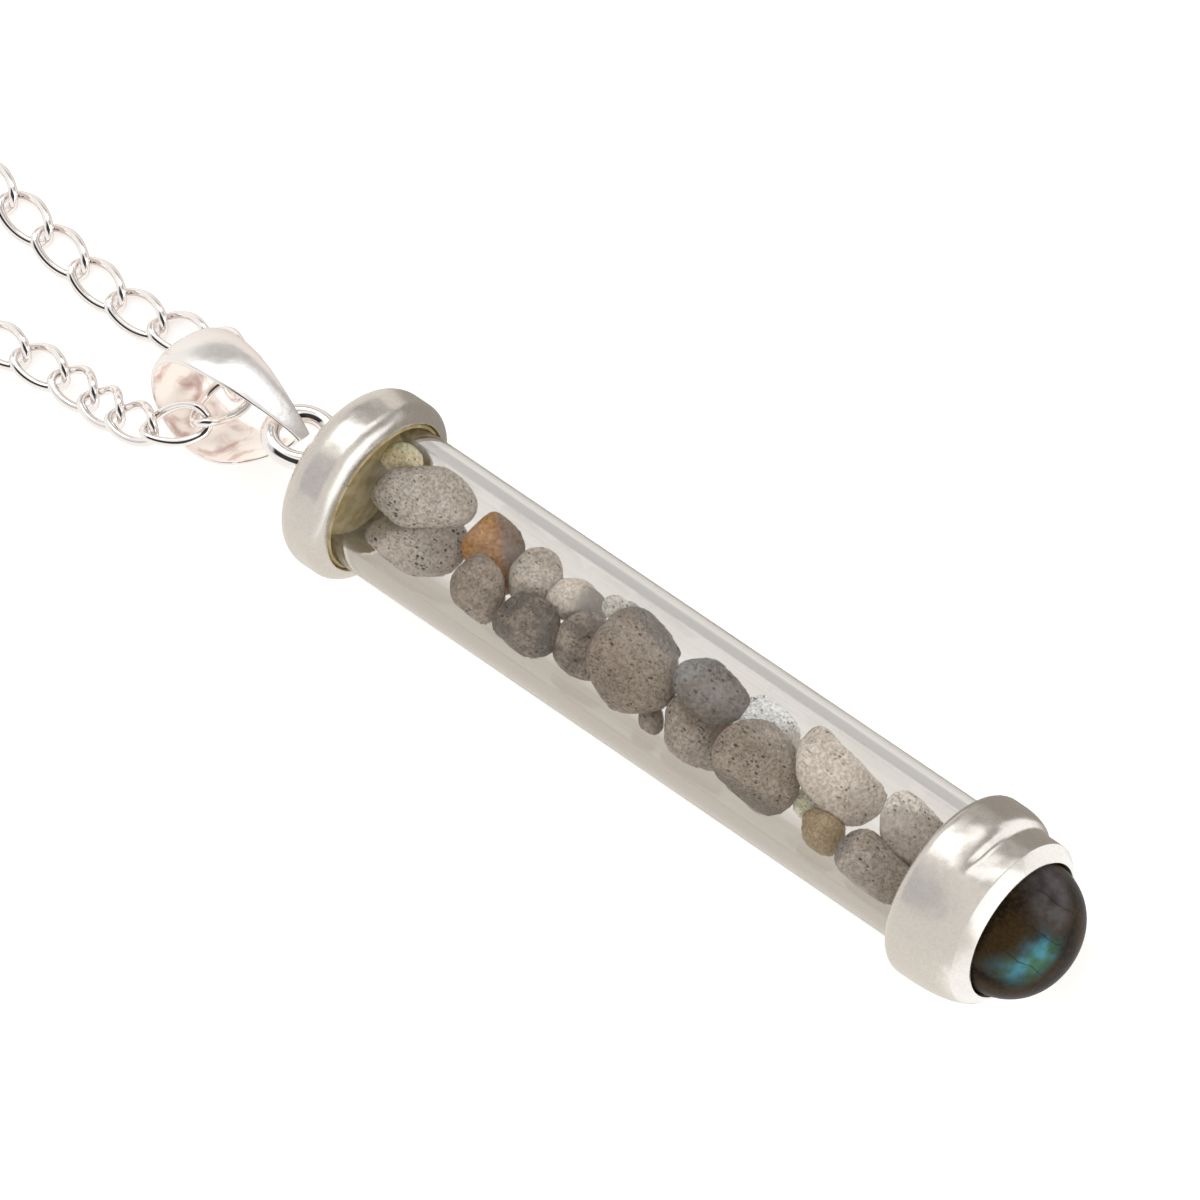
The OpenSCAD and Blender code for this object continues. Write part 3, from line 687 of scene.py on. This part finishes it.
def chip_points(u, row, seed):
    """Points of a tumbled chip: its block, with a few worn flats and low lumps."""
    random = np.random.default_rng(seed)
    flats = random.normal(size=(12, 3))
    flats /= np.linalg.norm(flats, axis=1)[:, None]
    flats = flats[np.abs(flats[:, 2]) > 0.35]
    reach = row[4:]
    spread = np.array(((reach[0] + reach[4]) / 2, (reach[2] + reach[6]) / 2, row[3]))
    near = np.maximum(0, (u / spread) @ flats.T) / random.uniform(0.80, 0.96, len(flats))
    size = 1.05 * ((1 / chip_size(u, row)) ** FLAT_POWER + (near ** FLAT_POWER).sum(1)) ** (-1 / FLAT_POWER)
    lumps = sum(np.sin(u @ random.normal(0, k, 3) + random.uniform(0, 6)) / k for k in (2.6, 3.8, 5.5, 8, 12))
    foot = off_sheet(np.array([[row[0], row[1], 0]], float))[0]
    middle = np.array((row[0], row[1], (row[2] - foot[2]) / math.cos(SIGHT_LEAN)))
    points = off_sheet(middle + u * (size * (1 + 0.02 * lumps))[:, None])
    held = np.minimum(1, CHIP_REACH * BED_R / np.hypot(points[:, 1], points[:, 2])) * BORE_R / BED_R
    return np.stack([(points[:, 0] + SHEET_START) * GLASS_END / BED_LENGTH,
                     points[:, 1] * held, points[:, 2] * held], 1)


def globe(rows, cols):
    """Directions all round, and the faces between them: rings of points and two poles."""
    lat = np.radians(90 - 180 * np.arange(1, rows + 1) / (rows + 1))
    lon = np.radians(360 * np.arange(cols) / cols)
    u = np.stack([np.outer(np.cos(lat), np.cos(lon)), np.outer(np.cos(lat), np.sin(lon)),
                  np.repeat(np.sin(lat)[:, None], cols, 1)], 2).reshape(-1, 3)
    u = np.concatenate([u, [(0, 0, 1), (0, 0, -1)]])
    faces = grid_faces(rows, cols)
    top, bottom, last = rows * cols, rows * cols + 1, (rows - 1) * cols
    faces += [(top, (j + 1) % cols, j) for j in range(cols)]
    faces += [(bottom, last + j, last + (j + 1) % cols) for j in range(cols)]
    return u, faces


def make_chips():
    u, faces = globe(34, 56)
    for i, (row, look) in enumerate(zip(CHIPS, LOOKS)):
        node = f"chip_{i + 1:02d}"
        name = "stone_" + node
        points = place(chip_points(u, row, i))
        piece = mesh_piece(name, points, faces)
        material = chip_stone(name, points.mean(0), look, FADES.get(node), i * 3.7 + 1)
        dress(piece, material, "chip_stone", node)


# Tube, caps and set stone
def make_tube():
    """The glass tube, with its four corners a little rounded."""
    e, r = GLASS_END, 0.18
    profile = (arc(e - r, TUBE_R - r, r, r, 90, 0, 6) + arc(e - r, BORE_R + r, r, r, 0, -90, 6)
               + arc(-e + r, BORE_R + r, r, r, -90, -180, 6) + arc(-e + r, TUBE_R - r, r, r, 180, 90, 6))
    # Short steps beside each corner keep the long straight walls' shading flat
    points, faces = lathe(split_long(profile + profile[:1], 0.5)[:-1], 192, closed=True)
    piece = mesh_piece("glass", place(points), faces)
    dress(piece, clear_glass(), "glass", "glass_tube")


# The upper cap's back, how far it rises in its middle, and the radius of its shoulder
UPPER_BACK, BACK_RISE, BACK_ROUND = -LIP - 3.9, 0.8, 1.7
SEAT_DEPTH = SEAT_LEN + 0.1
# The lower cap: its rounded mouth, its length, and how far its shoulder drops below the mouth
LIP_ROUND, LOWER_LEN, LOWER_DROP = 0.8, 3.4, 0.37
BEZEL_R, BEZEL_LEN, CUP_FLOOR = 5.65, 2.6, 0.3
STONE_R, STONE_RISE = 4.65, 3.45
FOOT = LIP + LOWER_LEN
RIM = FOOT + BEZEL_LEN
STONE_FOOT = FOOT + CUP_FLOOR + 0.1
DOME_FOOT = STONE_FOOT + 1.2
STONE_TIP = RIM + STONE_RISE
RING_D, RING_WIRE, RING_LEAN, RING_ROLL = 4.0, 1.24, 6, -38
RING_X = UPPER_BACK - BACK_RISE + 0.15 - (RING_D + RING_WIRE) / 2 * math.cos(math.radians(RING_LEAN))
RING_OFF = (RING_D + RING_WIRE) / 2 * math.sin(math.radians(RING_LEAN))


def torus(radius, wire, n=96, sides=24):
    """A ring about the Z axis from the radii of its middle line and of its wire."""
    t = np.linspace(0, 2 * math.pi, n, endpoint=False)
    p = np.linspace(0, 2 * math.pi, sides, endpoint=False)
    rr = radius + wire * np.cos(p)[None, :]
    points = np.stack([rr * np.cos(t)[:, None], rr * np.sin(t)[:, None],
                       np.repeat(wire * np.sin(p)[None, :], n, 0)], 2)
    return points.reshape(-1, 3), grid_faces(n, sides, closed_rows=True)


def glue_collar(side):
    """Glue in the gap round the glass and over its end; side is -1 for the upper cap, 1 for the lower."""
    inner, outer = TUBE_R + 0.02, CAP_BORE - 0.01
    ends = [(LIP + 2.6, inner), (LIP + 2.6, outer), (LIP + 0.45, outer), (LIP + 0.2, outer - 0.06),
            (LIP + 0.05, inner + 0.07), (LIP, inner)]
    profile = split_long([(side * x, r) for x, r in ends] + [(side * ends[0][0], ends[0][1])], 0.4)[:-1]
    plug = [(LIP + 2.78, 0), (LIP + 2.78, BORE_R - 0.02), (LIP + 1.7, BORE_R - 0.02), (LIP + 1.5, 2.6),
            (LIP + 1.4, 0)]
    return joined(lathe(profile, closed=True), lathe(split_long([(side * x, r) for x, r in plug], 0.4)))


def make_upper_cap(metal):
    """The cap with a domed back, and the ring that is soldered to it."""
    dome_r = CAP_R - BACK_ROUND
    profile = [(UPPER_BACK - BACK_RISE * (1 + math.cos(math.pi * k / 24)) / 2, dome_r * k / 24)
               for k in range(25)]
    profile += arc(UPPER_BACK + BACK_ROUND, dome_r, BACK_ROUND, BACK_ROUND, 180, 90, 20)
    profile += arc(-LIP - CAP_WALL, CAP_BORE, CAP_WALL, CAP_WALL, 90, 0, 20)
    profile += [(-LIP - SEAT_DEPTH, CAP_BORE), (-LIP - SEAT_DEPTH, 0)]
    points, faces = joined(lathe(split_long(profile)), glue_collar(-1))
    cap = mesh_piece("upper_cap_metal", place(points), faces, sharp=40)
    dress(cap, metal, "satin_silver", "upper_cap")

    points, faces = torus(RING_D / 2, RING_WIRE / 2)
    points = (points @ about("Y", RING_LEAN).T + (RING_X, 0, RING_OFF)) @ about("X", RING_ROLL).T
    ring = mesh_piece("soldered_ring", place(points), faces)
    dress(ring, polished_silver("ring_silver"), "polished_silver", "upper_cap")


def dome_radius(x):
    """Radius of the set stone's dome at a place on the axis."""
    f = max(0.0, (x - DOME_FOOT) / (STONE_TIP - DOME_FOOT))
    return STONE_R * max(0.0, 1 - f ** 2.2) ** (1 / 2.2)


def fill_groove(points):
    """The groove behind the bezel shows on the +Y side only. On the other the metal runs on in one curve."""
    wide = np.hypot(points[:, 1], points[:, 2])
    start, least = LIP + LOWER_LEN * 0.42, BEZEL_R - 0.7
    run = np.clip((points[:, 0] - start) / (RIM - 0.1 - start), 0, 1)
    barrel = least + (CAP_R - BEZEL_R + 0.7) * np.sqrt(1 - run ** 2.2)
    outside = (wide > BEZEL_R - 0.6) & (points[:, 0] > start)
    fill = np.where(outside, np.maximum(0, barrel - wide), 0)
    side = np.clip((points[:, 1] / np.maximum(wide, 0.01) - 0.05) / 0.4, 0, 1)
    fill *= 1 - side * side * (3 - 2 * side)
    points[:, 1:] *= (1 + fill / np.maximum(wide, 0.01))[:, None]


def make_lower_cap(metal):
    """The cap that steps down to a bezel with a wide bevelled rim."""
    shoulder = CAP_R - LOWER_DROP
    rim_in = dome_radius(RIM) + 0.1
    cup = FOOT + CUP_FLOOR
    profile = [(LIP + LIP_ROUND * 0.2, CAP_BORE)]
    profile += arc(LIP + LIP_ROUND, CAP_R - LIP_ROUND, LIP_ROUND, LIP_ROUND, 180, 90, 14)
    profile += arc(LIP + LOWER_LEN * 0.42, shoulder - 0.18, LOWER_LEN * 0.52, LOWER_DROP + 0.18, 90, 14, 20)
    profile += arc(FOOT + 0.3, BEZEL_R + 0.24, 0.42, 0.24, 205, 270, 10)
    profile += arc(RIM - 0.85, BEZEL_R - 0.12, 0.12, 0.12, 90, 45, 4)
    profile += arc(RIM - 0.14, BEZEL_R - 0.79, 0.12, 0.12, 45, 5, 4)
    profile += [(RIM - 0.02, rim_in + 0.1), (RIM - 0.15, rim_in), (RIM - 0.6, STONE_R + 0.1),
                (cup, STONE_R + 0.1), (cup, 0), (LIP + SEAT_DEPTH, 0), (LIP + SEAT_DEPTH, CAP_BORE)]
    points, faces = lathe(split_long(profile), closed=True)
    fill_groove(points)
    points, faces = joined((points, faces), glue_collar(1))
    cap = mesh_piece("lower_cap_metal", place(points), faces, sharp=40)
    dress(cap, metal, "satin_silver", "lower_cap")


def make_stone():
    """The domed stone in the bezel."""
    steps = 48
    profile = [(STONE_FOOT, 0), (STONE_FOOT, STONE_R - 0.2), (STONE_FOOT + 0.2, STONE_R)]
    for k in range(steps):
        x = DOME_FOOT + (STONE_TIP - DOME_FOOT) * math.sin(math.pi / 2 * k / steps)
        profile.append((x, dome_radius(x)))
    points, faces = lathe(profile + [(STONE_TIP, 0)])
    piece = mesh_piece("set_stone", place(points), faces, sharp=35)
    dress(piece, labradorite(), "dark_stone", "cabochon")


# Bail
BAND_SIDES = 40
BAIL_LEN, BAIL_H, BAND_W, TIP_W, BAND_T, BAND_DOME = 12.1, 7.6, 4.2, 1.0, 0.5, 0.3


def teardrop(s, h, power):
    """Half height of a loop that is 2 h high, at a share s of its length from its fine tip."""
    peak = math.sqrt(power / (power + 1))
    return h * (s / peak) ** power * math.sqrt(max(0, 1 - s * s)) / math.sqrt(1 - peak * peak)


def band_ring(s, side, n=BAND_SIDES):
    """Points round the band at a share s of the loop's length, on its upper or lower side."""
    width = (TIP_W + (BAND_W - TIP_W) * math.sin(math.pi / 2 * min(1, s / 0.7)) ** 1.1) / 2
    dome = BAND_DOME * min(1, s * 2)
    outer = np.array([-BAIL_LEN * s, side * teardrop(s, BAIL_H / 2, 0.85)])
    inner = np.array([-BAND_T - (BAIL_LEN - 2 * BAND_T) * s, side * teardrop(s, BAIL_H / 2 - BAND_T, 0.76)])
    out = outer - inner
    out = np.array([-1.0, 0]) if np.linalg.norm(out) < 0.01 else unit(out)
    ring = []
    for k in range(n):
        c, d = math.cos(2 * math.pi * k / n), math.sin(2 * math.pi * k / n)
        f, e = math.copysign(abs(c) ** 0.42, c), math.copysign(abs(d) ** 0.5, d)
        p = (outer + inner) / 2 + (outer - inner) / 2 * e + out * dome * (1 - f * f)
        ring.append((p[0], width * f, p[1]))
    return ring


def make_bail():
    """The folded teardrop band, which leans and turns on the ring."""
    steps = 110
    turns = [(math.sin(math.pi / 2 * k / steps), 1) for k in range(steps + 1)]
    turns += [(math.sin(math.pi / 2 * k / steps), -1) for k in range(steps - 1, 0, -1)]
    points = np.array([p for t in turns for p in band_ring(*t)])
    faces = grid_faces(len(turns), BAND_SIDES, closed_rows=True)
    lean, roll = about("Y", -15), about("X", RING_ROLL)
    points = points @ about("Z", -3).T @ lean.T
    tip = np.array((RING_X, 0, RING_OFF)) + np.array((0.175, -0.04, 0.15)) * RING_D / 2
    points = (points + tip) @ roll.T
    piece = mesh_piece("folded_bail", place(points), faces, sharp=50)

    middle = place((tip + np.array((-0.62 * BAIL_LEN, 0, 0)) @ lean.T) @ roll.T)

    def inside(s):
        """1 where the surface faces the middle of the loop."""
        to_middle = s.vec("NORMALIZE", s.vec("SUBTRACT", tuple(middle), s.mm))
        return s.ramp(s.dot(s.normal(), to_middle), 0.15, 0.5)

    def edge(s):
        """1 along the lower edge of the upper flank, near the narrow tip, where a dark reflection is painted.
        """
        across = s.dot(s.normal(), tuple(roll @ (0, -1, 0)))
        up = s.dot(s.normal(), tuple(roll @ (0, 0, 1)))
        thin = s.times(s.ramp(s.off(across, 0.70), 0.28, 0.20), s.math("GREATER_THAN", up, 0.1))
        x = s.dot(s.local, (1, 0, 0))
        return s.times(s.times(thin, s.ramp(x, RING_X - 6.5, RING_X - 4.0)), 0.95)

    # Painted light: inside the loop the silver gets a warm tint and a faint glow for the light the faces
    # throw at each other
    metal = polished_silver("bail_silver", 0.22, line=False, warm=inside, edge=edge)
    dress(piece, metal, "polished_silver", "bail")


# Chain
# CAD_WIRE is the gauge of the solids, which leaves gaps between them, and WIRE the one that shows
LINK_LEN, LINK_W, CAD_WIRE, WIRE = 4.8, 2.83, 0.44, 0.60
# How steeply a link's middle line crosses its flat plane at its ends and at its sides
END_TURN, SIDE_TURN = math.radians(48), math.radians(20)


def link_mesh(stations=44, sides=10):
    """Points of one link at the origin: arcs from the middle of each end to the middle of each side."""
    half_l, half_w = (LINK_LEN - CAD_WIRE) / 2, (LINK_W - CAD_WIRE) / 2
    a, ta = np.array((half_l, 0, 0)), np.array((0, math.cos(END_TURN), math.sin(END_TURN)))
    b, tb = np.array((0, half_w, 0)), np.array((-math.cos(SIDE_TURN), 0, -math.sin(SIDE_TURN)))
    q, v = 2 * (1 - ta @ tb), b - a
    t = v @ (ta + tb)
    reach = (-t + math.sqrt(t * t + q * (v @ v))) / q
    meet = (a + b + reach * (ta - tb)) / 2

    def on_arc(p, tangent, end, f):
        """The place at a share f of the arc that leaves p along a tangent and ends at end."""
        d = end - p
        n = unit(d - (d @ tangent) * tangent)
        th = 2 * math.acos((d @ tangent) / np.linalg.norm(d))
        r = np.linalg.norm(d) / (2 * math.sin(th / 2))
        return p + r * n * (1 - math.cos(th * f)) + r * tangent * math.sin(th * f)

    n = stations // 4
    quarter = []
    for k in range(n):
        f = 2 * k / n
        quarter.append(on_arc(a, ta, meet, f) if f <= 1 else on_arc(b, -tb, meet, 2 - f))
    quarter = np.array(quarter)
    side = on_arc(b, -tb, meet, 0)
    mirror = quarter[1:][::-1]
    line = np.concatenate([quarter, [side], mirror * (-1, 1, -1), [-a], quarter[1:] * (-1, -1, 1), [-side],
                           mirror * (1, -1, -1)])
    points = []
    m = len(line)
    for i in range(m):
        tangent = unit(line[(i + 1) % m] - line[i - 1])
        out = unit(line[i] - (line[i] @ tangent) * tangent)
        up = np.cross(tangent, out)
        for k in range(sides):
            w = 2 * math.pi * k / sides
            points.append(line[i] + WIRE / 2 * (out * math.cos(w) + up * math.sin(w)))
    return np.array(points), grid_faces(m, sides, closed_rows=True)


def loose_parts(mesh):
    """The vertices of each unconnected part of a mesh, welded by place."""
    co = np.zeros(len(mesh.vertices) * 3)
    mesh.vertices.foreach_get("co", co)
    co = co.reshape(-1, 3) / MM
    keys, place_of = np.unique(np.round(co, 4), axis=0, return_inverse=True)
    place_of = place_of.ravel()
    parent = np.arange(len(keys))

    def root(i):
        while parent[i] != i:
            parent[i] = parent[parent[i]]
            i = parent[i]
        return i

    for edge in mesh.edges:
        a, b = root(place_of[edge.vertices[0]]), root(place_of[edge.vertices[1]])
        if a != b:
            parent[a] = b
    groups = {}
    for i in range(len(keys)):
        groups.setdefault(root(i), []).append(i)
    return [keys[g] for g in groups.values()]


def link_axes(points):
    """Middle and right-handed axes of a link: its length, its width and its height."""
    middle = points.mean(0)
    _, _, axes = np.linalg.svd(points - middle)
    if np.linalg.det(axes) < 0:
        axes[2] = -axes[2]
    return middle, axes


def make_chain():
    """Round links in the places of the solid ones, and the same silver on the clasp."""
    link_points, link_faces = link_mesh()
    parts = []
    for part in loose_parts(NODES["chain"].data):
        middle, axes = link_axes(part)
        parts.append((link_points @ axes + middle, link_faces))
    points, faces = joined(*parts)
    piece = mesh_piece("curb_chain", points, faces)
    metal = polished_silver("chain_silver")
    dress(piece, metal, "polished_silver", "chain")
    clasp = NODES["clasp"]
    clasp.data.materials.clear()
    clasp.data.materials.append(metal)


make_floor()
make_world()
make_tube()
cap_silver = satin_silver()
make_upper_cap(cap_silver)
make_lower_cap(cap_silver)
make_stone()
make_chips()
make_bail()
make_chain()
